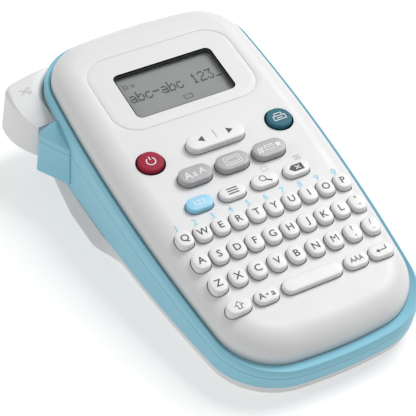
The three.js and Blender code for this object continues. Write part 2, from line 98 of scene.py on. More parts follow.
# Window, bezel and the wells round the two round keys.
WINDOW = {
    "u": 0, "v": WINDOW_V, "width": 51, "height": 28.4, "corner": 2.6, "depth": 2, "thickness": 0.5,
}
BEZEL = {"v": 59, "half_width": 37.5, "half_height": 24, "corner": 13}
PANEL_TOP = -3            # the display's panel, close under the window
GROOVE_WIDTH = 0.7
GROOVE_DEPTH = 0.34
HOLE_CLEARANCE = 0.14
HOLE_RIM = (0.2, 0.2)     # width and depth of the rounding round a hole
WELL_RIM = (0.8, 0.5)
WINDOW_RIM = (0.5, 0.5)

# Lever, its bay and the tape exit's hood.
LEVER_TOP = -15
LEVER_STEP = -16
LEVER_ROLL = 6            # width of the dip in its top beside the band
LEVER_DIP = -17.4
LEVER_FOOT = -39.5
LEVER_FLARE = 2.6
LEVER_SLOPE_FROM = 93     # where its top starts to fall away, and how long and deep that is
LEVER_SLOPE_LENGTH = 26
LEVER_OUTER_FALL = 8
LEVER_INNER_FALL = 4.5
LEVER_PIVOT = {"u": -48.5, "v": 97, "radius": 4.2}
BAY_CLEARANCE = 0.6
BAY_INNER = -46
BAY_NEAR = 68
BAY_SPLIT = -21           # where the band's lining of the bay meets the housing's
TAPE_LINE = 69.7
TAPE_TOP = -29
TAPE_FOOT = -41
SLOT_WIDTH = 1.4
HOOD = {
    "inner": -50, "side": -56.2, "top_out": -64.6, "foot_out": -66.3,
    "near": 51.5, "far": 67.4, "foot": -42.5, "top": -17,
}

# Keys and the marks on them.
KEY_SHOULDER = 0.9
KEY_CROWN = 0.1
OVAL_EXPONENT = 2.5
CAPITAL_HEIGHT = 0.682    # of the built-in font at size 1
LETTER_BOLD = 0.012       # what is added round a glyph's outline, at size 1
MARK_BOLD = 0.01
LETTER_HEIGHT = 3.4
DIGIT_HEIGHT = 3.1
PRINT_HEIGHT = 0.05       # marks stand this far above the surface they are printed on
NUMBER_LINE = -22.4       # v of the digits on the cover
ICON_LINE = -8.2          # v of the faint marks above the small keys
BOX_ICON_U = 12
CROSS_ICON_U = 29
SCISSORS_AT = (-61, 92)

# What the display shows.
DISPLAY_TEXT = "abc-abc 123_"
DOT_PITCH = (0.7, 0.93)
LETTER_PITCH = 4.08
TEXT_START = (-23.2, 60.5)
SEGMENT_LINE = 0.35
SMALL_MARKS = [(-22.6, 63.6, 2.2, 2.4), (-18.6, 63.6, 1.6, 1.8), (1, 46.8, 4.6, 2.6)]

# ---- frames ----


def extent(points):
    """The lowest and highest corners of the box round some points."""
    low = Vector(min(p[i] for p in points) for i in range(3))
    high = Vector(max(p[i] for p in points) for i in range(3))
    return low, high


def face_frame():
    """From face millimetres to the part's metres, found from the display window's CAD node."""
    turn = Matrix.Rotation(FACE_TILT, 4, "X")
    flat = turn.inverted()
    window = frame["nodes"]["display_window"].data
    low, high = extent([flat @ v.co for v in window.vertices])
    middle = (low + high) / 2
    origin = Vector((middle.x, middle.y - WINDOW_V * MM, high.z - WINDOW_TOP * MM))
    return turn @ Matrix.Translation(origin) @ Matrix.Scale(MM, 4)


FACE = face_frame()
TO_FACE = FACE.inverted()


def face_box(node):
    """Lowest and highest corners of a CAD node, in the face frame."""
    return extent([TO_FACE @ v.co for v in frame["nodes"][node].data.vertices])


def n_at_height(height, v):
    """The n of the point that is this far above the table, at v."""
    origin = FACE @ Vector((0, 0, 0))
    return (height - origin.z / MM - v * math.sin(FACE_TILT)) / math.cos(FACE_TILT)


def parting(v):
    return -PARTING_DEPTH - (v - BODY_USER_END) * PARTING_SLOPE


# ---- materials ----


def linear(red, green, blue):
    """An sRGB colour in 0 to 255, as the linear colour that a shader takes."""
    channels = []
    for value in (red, green, blue):
        value /= 255
        channels.append(value / 12.92 if value <= 0.04045 else ((value + 0.055) / 1.055) ** 2.4)
    return (*channels, 1)


def new_material(name):
    material = bpy.data.materials.new(name)
    material.use_nodes = True
    nodes = material.node_tree.nodes
    return material, nodes, material.node_tree.links, nodes["Principled BSDF"]


def noise(nodes, links, scale, detail=3):
    """Noise in the part's own coordinates: scale is in features per metre."""
    coordinates = nodes.new("ShaderNodeTexCoord")
    texture = nodes.new("ShaderNodeTexNoise")
    texture.inputs["Scale"].default_value = scale
    texture.inputs["Detail"].default_value = detail
    links.new(coordinates.outputs["Object"], texture.inputs["Vector"])
    return texture.outputs["Fac"]


def spread(nodes, links, value, low, high):
    """A noise value, brought into a range."""
    node = nodes.new("ShaderNodeMapRange")
    node.inputs["From Min"].default_value = 0.3
    node.inputs["From Max"].default_value = 0.7
    node.inputs["To Min"].default_value = low
    node.inputs["To Max"].default_value = high
    links.new(value, node.inputs["Value"])
    return node.outputs["Result"]


def surface(
        name, colour, roughness, grain=0.02, grain_scale=2500, mottle=0.02, metallic=0.0, gloss=0.5):
    """A moulded or metal surface: a fine grain, cloudy gloss and a slight drift of colour."""
    material, nodes, links, shader = new_material(name)
    dark = [c * (1 - mottle) for c in colour[:3]] + [1]
    light = [min(1, c * (1 + mottle)) for c in colour[:3]] + [1]
    drift = nodes.new("ShaderNodeValToRGB")
    drift.color_ramp.elements[0].color = dark
    drift.color_ramp.elements[1].color = light
    links.new(noise(nodes, links, 35), drift.inputs["Fac"])
    links.new(drift.outputs["Color"], shader.inputs["Base Color"])
    cloudy = spread(nodes, links, noise(nodes, links, 90, 4), roughness - 0.04, roughness + 0.04)
    links.new(cloudy, shader.inputs["Roughness"])
    bump = nodes.new("ShaderNodeBump")
    bump.inputs["Strength"].default_value = grain
    bump.inputs["Distance"].default_value = 0.0002
    links.new(noise(nodes, links, grain_scale, 2), bump.inputs["Height"])
    links.new(bump.outputs["Normal"], shader.inputs["Normal"])
    shader.inputs["Metallic"].default_value = metallic
    shader.inputs["Specular IOR Level"].default_value = gloss
    return material


def clear_acrylic():
    material = surface("clear_acrylic", linear(222, 228, 226), 0.08, grain=0.005, mottle=0.01)
    material.node_tree.nodes["Principled BSDF"].inputs["Alpha"].default_value = 0.06
    return material


MATERIALS = {
    "white_shell": surface("white_abs", linear(218, 218, 218), 0.45, grain=0.05),
    "blue_shell": surface("blue_abs", linear(138, 195, 213), 0.45, grain=0.04, gloss=0.35),
    "white_key": surface("white_key", linear(222, 222, 222), 0.4),
    "grey_key": surface("grey_key", linear(166, 166, 168), 0.38),
    "blue_key": surface("blue_key", linear(146, 204, 232), 0.36),
    "red_key": surface("red_key", linear(152, 32, 56), 0.55, gloss=0.2),
    "teal_key": surface("teal_key", linear(48, 104, 120), 0.55, gloss=0.2),
    "clear_window": clear_acrylic(),
    "lcd": surface("lcd_glass", linear(128, 131, 128), 0.6, grain=0.01, grain_scale=6000),
    "silicone": surface("silicone", linear(205, 205, 205), 0.7, grain=0.1),
    "circuit_laminate": surface("laminate", linear(40, 96, 60), 0.45, grain=0.1, grain_scale=1200),
    "steel": surface(
        "steel", linear(196, 198, 200), 0.28, grain=0.05, grain_scale=4000, metallic=0.95),
    "black_plastic": surface("cell_sleeve", linear(42, 43, 45), 0.35, grain=0.05),
    "grey_plastic": surface("grey_plastic", linear(180, 182, 184), 0.5, grain=0.1),
    "black_rubber": surface("ground_rubber", linear(28, 28, 30), 0.8, grain=0.3, grain_scale=3000),
}
# Painted shade: the wall inside the display window gets this dark colour for the shade that falls
# there. Cutting tools carry it only until they are used.
PAINTED_SHADE_DARK = surface("window_frame", linear(44, 52, 55), 0.45)
DARK_INK = surface("dark_ink", linear(58, 60, 62), 0.55)
GREY_INK = surface("grey_ink", linear(168, 170, 172), 0.55)
BLUE_INK = surface("blue_ink", linear(130, 200, 228), 0.55)
WHITE_INK = surface("white_ink", linear(226, 226, 228), 0.5)
LCD_INK = surface("lcd_segments", linear(20, 40, 52), 0.7, gloss=0.1)

# ---- meshes ----


def new_object(name, points, faces, material):
    """A mesh object from points in the face frame."""
    mesh = bpy.data.meshes.new(name)
    mesh.from_pydata([FACE @ Vector(p) for p in points], [], faces)
    mesh.materials.append(material)
    mesh.validate()
    obj = bpy.data.objects.new(name, mesh)
    bpy.context.scene.collection.objects.link(obj)
    return obj


def smooth(obj, degrees=35):
    """Smooth shading that large flat faces dominate, with the sharper edges kept."""
    obj.data.shade_smooth()
    obj.data.set_sharp_from_angle(angle=math.radians(degrees))
    modifier = obj.modifiers.new("weighted", "WEIGHTED_NORMAL")
    modifier.keep_sharp = True
    return apply_modifiers(obj)


def show(obj, body, node=None, slot=None):
    """The piece moves with a CAD body and, where it's given, stands for one of its nodes."""
    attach(obj, body)
    if node:
        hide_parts(node)
    return obj


def loft(name, rings, material, closed=False):
    """A skin over rings of equal length. An open one gets a cap at each end."""
    count = len(rings[0])
    points = [p for ring in rings for p in ring]
    faces = []
    last = len(rings) if closed else len(rings) - 1
    for ring in range(last):
        below = ring * count
        above = (ring + 1) % len(rings) * count
        for i in range(count):
            j = (i + 1) % count
            faces.append((below + i, below + j, above + j, above + i))
    if not closed:
        faces.append(tuple(reversed(range(count))))
        faces.append(tuple(range(len(points) - count, len(points))))
    return new_object(name, points, faces, material)


def apply_modifiers(obj):
    """Leaves the object with the mesh that its modifiers make."""
    bpy.context.view_layer.update()
    evaluated = obj.evaluated_get(bpy.context.evaluated_depsgraph_get())
    mesh = bpy.data.meshes.new_from_object(evaluated)
    obj.modifiers.clear()
    obj.data = mesh
    return obj


def combine(obj, tool, operation):
    """Joins a tool to an object, or cuts it away, and uses the tool up."""
    tool.data.materials[0] = obj.data.materials[0]
    modifier = obj.modifiers.new(operation, "BOOLEAN")
    modifier.operation = operation
    modifier.solver = "EXACT"
    modifier.object = tool
    apply_modifiers(obj)
    bpy.data.objects.remove(tool)
    return obj


def block(u0, u1, v0, v1, n0, n1):
    ring = [(u0, v0), (u1, v0), (u1, v1), (u0, v1)]
    return loft("block", [[(u, v, n) for u, v in ring] for n in (n0, n1)], PAINTED_SHADE_DARK)


def bevel(obj, width, segments=3, degrees=30):
    """Rounds the edges that are sharper than an angle."""
    modifier = obj.modifiers.new("bevel", "BEVEL")
    modifier.width = width * MM
    modifier.segments = segments
    modifier.limit_method = "ANGLE"
    modifier.angle_limit = math.radians(degrees)
    modifier.use_clamp_overlap = True
    return apply_modifiers(obj)


# ---- plan outlines ----


def circles_meet(centre_a, radius_a, centre_b, radius_b, side):
    """Where two circles cross; side (1 or -1) picks one of the two points."""
    line = centre_b - centre_a
    apart = line.length
    along = (apart ** 2 + radius_a ** 2 - radius_b ** 2) / (2 * apart)
    across = math.sqrt(radius_a ** 2 - along ** 2) * side
    line.normalize()
    return centre_a + line * along + Vector((-line.y, line.x)) * across


def angle_to(start, end):
    """The direction from one point to another."""
    return math.atan2(end.y - start.y, end.x - start.x)


def plan_arcs(user_end):
    """The arcs of the plan's right-hand half, from the user's end round: centre, radius, angles."""
    side = Vector((HALF_WIDTH - SIDE_RADIUS, WIDEST_AT))
    user = Vector((0, user_end + USER_END_RADIUS))
    display = Vector((0, DISPLAY_END - DISPLAY_END_RADIUS))
    lower = circles_meet(side, SIDE_RADIUS - USER_CORNER, user, USER_END_RADIUS - USER_CORNER, -1)
    upper = circles_meet(
        side, SIDE_RADIUS - DISPLAY_CORNER, display, DISPLAY_END_RADIUS - DISPLAY_CORNER, 1)
    quarter = math.pi / 2
    return [
        (user, USER_END_RADIUS, -quarter, angle_to(user, lower)),
        (lower, USER_CORNER, angle_to(user, lower), angle_to(side, lower)),
        (side, SIDE_RADIUS, angle_to(side, lower), angle_to(side, upper)),
        (upper, DISPLAY_CORNER, angle_to(side, upper), angle_to(display, upper)),
        (display, DISPLAY_END_RADIUS, angle_to(display, upper), quarter),
    ]


COVER_ARCS = plan_arcs(COVER_USER_END)
BODY_ARCS = plan_arcs(BODY_USER_END)
# Both plans get the same number of points on each arc, so that they can be lofted together.
ARC_STEPS = [max(3, round(arc[1] * abs(arc[3] - arc[2]) / PLAN_SPACING)) for arc in BODY_ARCS]


def plan(arcs, offset):
    """The plan moved outwards by an offset, as points running anticlockwise."""
    right = []
    for (centre, radius, start, end), steps in zip(arcs, ARC_STEPS):
        for i in range(steps):
            angle = start + (end - start) * i / steps
            direction = Vector((math.cos(angle), math.sin(angle)))
            right.append(centre + direction * (radius + offset))
    left = [Vector((-p.x, p.y)) for p in reversed(right[1:])]
    return [*right, Vector((0, DISPLAY_END + offset)), *left]


def plan_depth(arcs, u, v):
    """How far a point lies inside the plan, by the nearest of its arcs."""
    point = Vector((abs(u), v))
    depth = HALF_WIDTH
    for centre, radius, start, end in arcs:
        angle = angle_to(centre, point)
        if min(start, end) - ANGLE_SLACK <= angle <= max(start, end) + ANGLE_SLACK:
            depth = min(depth, radius - (point - centre).length)
    return depth


def cover_ring(offset, n):
    return [(p.x, p.y, n) for p in plan(COVER_ARCS, offset)]


def body_ring(offset, level):
    """A ring of the body's plan. level is its n, or a function that gives n from v."""
    if callable(level):
        return [(p.x, p.y, level(p.y)) for p in plan(BODY_ARCS, offset)]
    return [(p.x, p.y, level) for p in plan(BODY_ARCS, offset)]


def oval(width, height, count=56):
    """An oval between an ellipse and a rectangle."""
    points = []
    for i in range(count):
        angle = (i + 0.5) * 2 * math.pi / count
        c = math.cos(angle)
        s = math.sin(angle)
        points.append((
            width / 2 * math.copysign(abs(c) ** (2 / OVAL_EXPONENT), c),
            height / 2 * math.copysign(abs(s) ** (2 / OVAL_EXPONENT), s),
        ))
    return points


def rounded(width, height, corner, steps=12):
    """A rectangle with round corners; with a corner of half its height it is a pill."""
    points = []
    u = width / 2 - corner
    v = height / 2 - corner
    for turn, (sign_u, sign_v) in enumerate([(1, 1), (-1, 1), (-1, -1), (1, -1)]):
        for i in range(steps + 1):
            angle = (turn + i / steps) * math.pi / 2
            points.append((
                sign_u * u + corner * math.cos(angle),
                sign_v * v + corner * math.sin(angle),
            ))
    return points


# ---- keys' places, from the frame ----


class Key:
    """Where a key stands and how large it is, read from its CAD node."""

    def __init__(self, name, slot):
        low, high = face_box(name)
        self.name = name
        self.slot = slot
        self.u = (low.x + high.x) / 2
        self.v = (low.y + high.y) / 2
        self.width = high.x - low.x
        self.height = high.y - low.y
        self.foot = low.z
        self.top = high.z
        self.is_round = abs(self.width - self.height) < 0.2
        self.is_oval = self.width < self.height - 0.5

    def outline(self, margin):
        """The key's outline round its middle, moved outwards by a margin."""
        width = self.width + 2 * margin
        height = self.height + 2 * margin
        if self.is_oval:
            return oval(width, height)
        return rounded(width, height, height / 2 - 0.01)

    def share(self, u, v):
        """0 in the middle of the key's top and 1 at its rim, for a point from its middle."""
        half_width = self.width / 2 - KEY_SHOULDER
        half_height = self.height / 2 - KEY_SHOULDER
        if self.is_oval:
            across = abs(u / half_width) ** OVAL_EXPONENT + abs(v / half_height) ** OVAL_EXPONENT
            return across ** (1 / OVAL_EXPONENT)
        beyond = max(0, abs(u) - (half_width - half_height))
        return math.hypot(beyond, v) / half_height

    def crown(self, share):
        """The n of the gently domed top."""
        return self.top - KEY_CROWN * min(1, share) ** 2


SLOTS = {part["node"]: part["material_slot"] for part in frame["record"]["subparts"]}
KEYS = [Key(node, SLOTS[node]) for node in frame["nodes"] if node.startswith("key_")]

# ---- top cover ----


def bezel_distance(u, v):
    """Distance from the bezel's outline, a rounded rectangle."""
    du = abs(u) - BEZEL["half_width"] + BEZEL["corner"]
    dv = abs(v - BEZEL["v"]) - BEZEL["half_height"] + BEZEL["corner"]
    outside = math.hypot(max(du, 0), max(dv, 0))
    return outside + min(max(du, dv), 0) - BEZEL["corner"]


def cover_height(u, v):
    """The cover's surface: a flat with a rolled edge, and the groove round the display."""
    depth = plan_depth(COVER_ARCS, u, v)
    n = 0
    if depth < ROLL_WIDTH:
        across = min(1, (ROLL_WIDTH - depth) / ROLL_WIDTH)
        n = -ROLL_DEPTH * (1 - math.sqrt(1 - across ** 2))
    beside = abs(bezel_distance(u, v)) / (GROOVE_WIDTH / 2)
    if beside < 1:
        n -= GROOVE_DEPTH * (0.5 + 0.5 * math.cos(math.pi * beside))
    return n


def cover_normal(u, v):
    step = 0.05
    slope_u = (cover_height(u + step, v) - cover_height(u - step, v)) / (2 * step)
    slope_v = (cover_height(u, v + step) - cover_height(u, v - step)) / (2 * step)
    return Vector((-slope_u, -slope_v, 1)).normalized()


def inside(points, loop):
    """Which points lie inside a closed loop, by the even-odd rule."""
    points = np.array(points)
    start = np.array(loop)
    end = np.roll(start, -1, axis=0)
    result = np.zeros(len(points), bool)
    for (u0, v0), (u1, v1) in zip(start, end):
        if v0 == v1:
            continue
        crosses = (v0 > points[:, 1]) != (v1 > points[:, 1])
        at = u0 + (points[:, 1] - v0) * (u1 - u0) / (v1 - v0)
        result ^= crosses & (points[:, 0] < at)
    return result


def window_outline(margin):
    points = rounded(
        WINDOW["width"] + 2 * margin, WINDOW["height"] + 2 * margin, WINDOW["corner"] + margin)
    return [(WINDOW["u"] + u, WINDOW["v"] + v) for u, v in points]


def hole_loops():
    """Every hole in the cover: outline as a function of margin, and its rim's width and depth."""
    holes = []
    for key in KEYS:
        def outline(margin, key=key):
            points = key.outline(HOLE_CLEARANCE + margin)
            return [(key.u + u, key.v + v) for u, v in points]
        holes.append((outline, *(WELL_RIM if key.is_round else HOLE_RIM)))
    holes.append((window_outline, *WINDOW_RIM))
    return holes


def bezel_loop(margin):
    points = rounded(
        2 * (BEZEL["half_width"] + margin), 2 * (BEZEL["half_height"] + margin),
        BEZEL["corner"] + margin, steps=20)
    return [(u, BEZEL["v"] + v) for u, v in points]


def densify(loop, spacing):
    """A closed loop with extra points on its long sides."""
    points = []
    for (u0, v0), (u1, v1) in zip(loop, loop[1:] + loop[:1]):
        steps = max(1, round(math.hypot(u1 - u0, v1 - v0) / spacing))
        for i in range(steps):
            points.append((u0 + (u1 - u0) * i / steps, v0 + (v1 - v0) * i / steps))
    return points


def cover_surface_points(holes):
    """Points and fixed edges for the cover's surface, in plan."""
    points = []
    edge_steps = 12
    spacing = 3
    groove_clearance = 1.5
    rim_clearance = 0.25
    for i in range(1, edge_steps + 1):
        across = ROLL_WIDTH * (1 - math.cos(i / edge_steps * math.pi / 2))
        points.extend((p.x, p.y) for p in plan(COVER_ARCS, -across))
    for u in np.arange(-HALF_WIDTH, HALF_WIDTH, spacing):
        for v in np.arange(COVER_USER_END, DISPLAY_END, spacing):
            on_flat = plan_depth(COVER_ARCS, u, v) > ROLL_WIDTH + 1
            if on_flat and abs(bezel_distance(u, v)) > groove_clearance:
                points.append((float(u), float(v)))
    blocked = np.zeros(len(points), bool)
    for outline, rim, _ in holes:
        blocked |= inside(points, outline(rim + rim_clearance))
    kept = [p for p, hidden in zip(points, blocked) if not hidden]
    loops = [outline(rim) for outline, rim, _ in holes]
    loops.append([(p.x, p.y) for p in plan(COVER_ARCS, 0)])
    for fraction in (-1, -0.5, 0, 0.5, 1):
        loops.append(densify(bezel_loop(fraction * GROOVE_WIDTH / 2), spacing=2))
    edges = []
    for loop in loops:
        first = len(kept)
        kept.extend(loop)
        edges.extend((first + i, first + (i + 1) % len(loop)) for i in range(len(loop)))
    return kept, edges


def cover_shell():
    """The cover's surface with a rounded rim and walls in every hole, and its skirt."""
    holes = hole_loops()
    plan_points, edges = cover_surface_points(holes)
    flat = [Vector(p) for p in plan_points]
    merge_within = 1e-5
    found, _, triangles, *_ = delaunay_2d_cdt(flat, edges, [], 1, merge_within)
    centres = [
        ((found[a].x + found[b].x + found[c].x) / 3, (found[a].y + found[b].y + found[c].y) / 3)
        for a, b, c in triangles
    ]
    hidden = np.zeros(len(triangles), bool)
    for outline, rim, _ in holes:
        hidden |= inside(centres, outline(rim))
    points = [(p.x, p.y, cover_height(p.x, p.y)) for p in found]
    normals = [cover_normal(p.x, p.y) for p in found]
    faces = [tuple(t) for t, drop in zip(triangles, hidden) if not drop]

    def add_rings(rings):
        """Quads down a stack of rings; rings hold (point, normal) pairs."""
        count = len(rings[0])
        first = len(points)
        for ring in rings:
            for point, normal in ring:
                points.append(point)
                normals.append(normal)
        for k in range(len(rings) - 1):
            for i in range(count):
                j = (i + 1) % count
                a = first + k * count
                b = a + count
                faces.append((a + i, b + i, b + j, a + j))

    rim_steps = 5
    for outline, rim, depth in holes:
        base = outline(rim)
        beyond = outline(rim + 1)
        rings = []
        for k in range(rim_steps + 1):
            angle = k / rim_steps * math.pi / 2
            ring = []
            for i, (u, v) in enumerate(outline(rim * (1 - math.sin(angle)))):
                n = cover_height(*base[i]) - depth * (1 - math.cos(angle))
                inward = Vector((base[i][0] - beyond[i][0], base[i][1] - beyond[i][1], 0))
                inward.normalize()
                normal = inward * math.sin(angle) + Vector((0, 0, math.cos(angle)))
                ring.append(((u, v, n), normal))
            rings.append(ring)
        rings.append([((p[0], p[1], -WINDOW["depth"]), normal) for p, normal in rings[-1]])
        add_rings(rings)
    skirt = []
    for n in (-ROLL_DEPTH, COVER_SKIRT):
        ring = []
        for p, outer in zip(plan(COVER_ARCS, 0), plan(COVER_ARCS, 1)):
            outward = Vector((outer.x - p.x, outer.y - p.y, 0)).normalized()
            ring.append(((p.x, p.y, n), outward))
        skirt.append(ring)
    add_rings(skirt)
    obj = new_object("cover_shell", points, faces, MATERIALS["white_shell"])
    return obj, normals


def top_cover():
    """The cover, shaded by the exact normals of its surface."""
    obj, normals = cover_shell()
    obj.data.shade_smooth()
    turn = FACE.to_3x3()
    obj.data.normals_split_custom_set_from_vertices([(turn @ n).normalized() for n in normals])
    return obj


def window_frame():
    """The wall inside the window's opening, coloured dark as painted shade for the shade that falls
    in it.
    """
    foot = -WINDOW["depth"]
    profile = [(0.02, -0.55), (-0.25, -0.75), (-0.3, foot), (0.6, foot), (0.6, -1)]
    rings = [[(u, v, n) for u, v in window_outline(margin)] for margin, n in profile]
    # The dark colour of this wall is painted shade.
    return smooth(loft("window_frame", rings, PAINTED_SHADE_DARK, closed=True))


# ---- blue shells ----


def hood(low, high):
    """The tape exit's wedge, between two distances above the parting plane."""
    inner, side, top_out, foot_out, near, far, foot, top = HOOD.values()
    corners = [
        (side, near, top - 1), (side, near, foot), (inner, near, top - 1), (inner, near, foot),
        (top_out, far - 1.4, top - 1), (foot_out, far - 1.4, foot),
        (top_out + 0.2, far, top), (foot_out, far, foot),
        (side - 1.3, far + 0.4, top + 3.8), (inner, far, top + 3), (inner, far, foot),
    ]
    mesh = bmesh.new()
    for corner in corners:
        mesh.verts.new(corner)
    bmesh.ops.convex_hull(mesh, input=mesh.verts)
    bmesh.ops.dissolve_limit(mesh, angle_limit=math.radians(2), verts=mesh.verts, edges=mesh.edges)
    bmesh.ops.bevel(
        mesh, geom=mesh.edges[:], offset=0.5, segments=3, profile=0.5, affect="EDGES")
    normal = Vector((0, PARTING_SLOPE, 1)).normalized()
    for level, keep_above in ((low, True), (high, False)):
        at = Vector((0, 0, parting(0))) + normal * level
        whole = mesh.verts[:] + mesh.edges[:] + mesh.faces[:]
        bmesh.ops.bisect_plane(
            mesh, geom=whole, plane_co=at, plane_no=normal,
            clear_inner=keep_above, clear_outer=not keep_above)
        rim = [e for e in mesh.edges if e.is_boundary]
        bmesh.ops.edgeloop_fill(mesh, edges=rim)
    mesh.normal_update()
    points = [tuple(v.co) for v in mesh.verts]
    faces = [tuple(v.index for v in f.verts) for f in mesh.faces]
    mesh.free()
    return new_object("hood", points, faces, MATERIALS["blue_shell"])


def bay_room(margin, low, high):
    """The lever's bay, or with a margin, the blocks that its walls are cut from."""
    u, v, radius = (LEVER_PIVOT[k] for k in ("u", "v", "radius"))
    reach = radius + BAY_CLEARANCE + margin
    room = block(-80, BAY_INNER + margin, BAY_NEAR - margin, 120, low, high)
    return combine(room, block(-80, u + reach, v - reach, 120, low, high), "UNION")


def bay_walls(low, high):
    """The lining of the lever's bay inside a shell, still solid."""
    walls = bay_room(WALL, low, high)
    trim = loft("trim", [body_ring(BAND_PROUD - 0.5, n) for n in (low - 5, high + 5)], PAINTED_SHADE_DARK)
    return combine(walls, trim, "INTERSECT")


def cut_bay(shell):
    return combine(shell, bay_room(0, LEVER_FOOT - BAY_CLEARANCE, LEVER_STEP + GAP), "DIFFERENCE")


def upper_band():
    """The blue band round the cover: its outer face, the ridge, the slope down to the cover."""
    low = PARTING_GAP / 2

    def above(distance):
        return lambda v: parting(v) + distance

    ridge = BAND_RIDGE
    rings = [
        body_ring(BAND_PROUD - WALL, above(low)),
        body_ring(BAND_PROUD - EDGE, above(low)),
        body_ring(BAND_PROUD - EDGE * 0.3, above(low + EDGE * 0.3)),
        body_ring(BAND_PROUD, above(low + EDGE)),
        body_ring(BAND_PROUD, -12.7),
        body_ring(BAND_PROUD - 0.1, -11.6),
        body_ring(BAND_PROUD - 0.35, -10.8),
        body_ring(BAND_PROUD - 0.75, -10.1),
        body_ring(ridge + 0.25, BAND_TOP - 0.1),
        body_ring(ridge, BAND_TOP),
        body_ring(ridge - 0.2, BAND_TOP - 0.12),
        cover_ring(COVER_GAP + 0.12, BAND_TOP - 1.7),
        cover_ring(COVER_GAP, BAND_TOP - 1.85),
        cover_ring(COVER_GAP, BAND_TOP - 2.9),
        body_ring(BAND_PROUD - WALL, BAND_TOP - 3.2),
    ]
    band = loft("upper_band", rings, MATERIALS["blue_shell"], closed=True)
    combine(band, hood(low, 60), "UNION")
    combine(band, bay_walls(BAY_SPLIT + 0.1, LEVER_STEP + WALL), "UNION")
    return smooth(cut_bay(band), 30)


def main_housing():
    """The lower blue shell: a deck under the band, outer walls, and the bay's own walls."""
    high = PARTING_GAP / 2

    def below(distance):
        return lambda v: parting(v) - distance

    def standing(height):
        return lambda v: n_at_height(height, v)

    inner = BAND_PROUD - WALL
    rings = [
        body_ring(inner, below(DECK_DEPTH)),
        body_ring(inner, standing(HOUSING_FOOT)),
        body_ring(BAND_PROUD - EDGE, standing(HOUSING_FOOT)),
        body_ring(BAND_PROUD, standing(HOUSING_FOOT + EDGE)),
        body_ring(BAND_PROUD, below(high + EDGE)),
        body_ring(BAND_PROUD - EDGE * 0.3, below(high + EDGE * 0.3)),
        body_ring(BAND_PROUD - EDGE, below(high)),
    ]
    housing = loft("main_housing", rings, MATERIALS["blue_shell"])
    combine(housing, hood(-60, -high), "UNION")
    combine(housing, bay_walls(LEVER_FOOT - BAY_CLEARANCE - 2 * WALL, BAY_SPLIT), "UNION")
    cut_bay(housing)
    slot_near = TAPE_LINE - SLOT_WIDTH / 2
    slot = block(-60, -30, slot_near, slot_near + SLOT_WIDTH, TAPE_FOOT, TAPE_TOP)
    return smooth(combine(housing, slot, "DIFFERENCE"), 30)


# ---- base ----


def flare_at(v):
    """How far the base's foot flares out at v, as a share of its most."""
    t = min(1, max(0, (v - FLARE_FROM) / (FLARE_FULL - FLARE_FROM)))
    fall = 1 - max(0, v - FLARE_WANES) / (DISPLAY_END - FLARE_WANES)
    return t * t * (3 - 2 * t) * max(0, fall)


def base_ring(height, inset):
    """The base's outline at a height above the table. Its sides lean out towards the foot."""
    share = 1 - 0.8 * height / BASE_TOP
    ring = []
    for u, v, n in body_ring(BAND_PROUD - BASE_INSET - inset, lambda v: n_at_height(height, v)):
        widened = 1 + share * BASE_FLARE * flare_at(v) / (HALF_WIDTH + BAND_PROUD)
        ring.append((u * widened, v, n))
    return ring


def back_cover():
    """The base, with a rounded foot, a floor and an upstanding rim."""
    foot_round = 0.7
    rings = []
    for angle in np.linspace(0, math.pi / 2, 5):
        height = foot_round * (1 - math.cos(angle))
        inset = foot_round * (1 - math.sin(angle))
        rings.append(base_ring(height, inset))
    rings.append(base_ring(BASE_TOP - EDGE, 0))
    rings.append(base_ring(BASE_TOP, EDGE))
    base = loft("back_cover", rings, MATERIALS["white_shell"])
    inner = BAND_PROUD - WALL
    floor_ring = body_ring(inner, lambda v: n_at_height(BASE_FLOOR, v))
    above_ring = body_ring(inner, lambda v: n_at_height(BASE_TOP + 5, v))
    hollow = loft("hollow", [floor_ring, above_ring], PAINTED_SHADE_DARK)
    return smooth(combine(base, hollow, "DIFFERENCE"), 40)


# ---- cutter lever ----


def arc_points(centre, radius, start, end, steps):
    return [
        Vector((centre[0] + radius * math.cos(a), centre[1] + radius * math.sin(a)))
        for a in np.linspace(math.radians(start), math.radians(end), steps)
    ]


def curve_points(start, control, end, steps):
    """A quadratic curve, without its first point."""
    points = []
    for i in range(1, steps + 1):
        t = i / steps
        points.append(start * (1 - t) ** 2 + control * 2 * t * (1 - t) + end * t ** 2)
    return points


def lever_plan(flare, inset=0):
    """The lever's plan: a thumb paddle round its pivot, moved in on its outer side by an inset."""
    u, v, radius = (LEVER_PIVOT[k] for k in ("u", "v", "radius"))
    out = inset - flare
    near = Vector((-63 + inset, 71.6 + inset))
    tip = Vector((-60.5 + inset * 0.3, 101.4 - inset))
    corner = Vector((-69 + out, 96.6 - inset * 0.4))
    points = [Vector((-53.5, 71.6 + inset)), Vector((-52.4, 84)), Vector((-50.4, 92))]
    points += arc_points((u, v), radius, 225, 360, 14)
    points += [Vector((u + radius, 104.2 - inset)), Vector((-55, 102.8 - inset)), tip]
    points += curve_points(tip, Vector((-67.4 + out, 100.2 - inset)), corner, 10)
    points += curve_points(corner, Vector((-71.6 + out, 84)), near, 22)
    return points


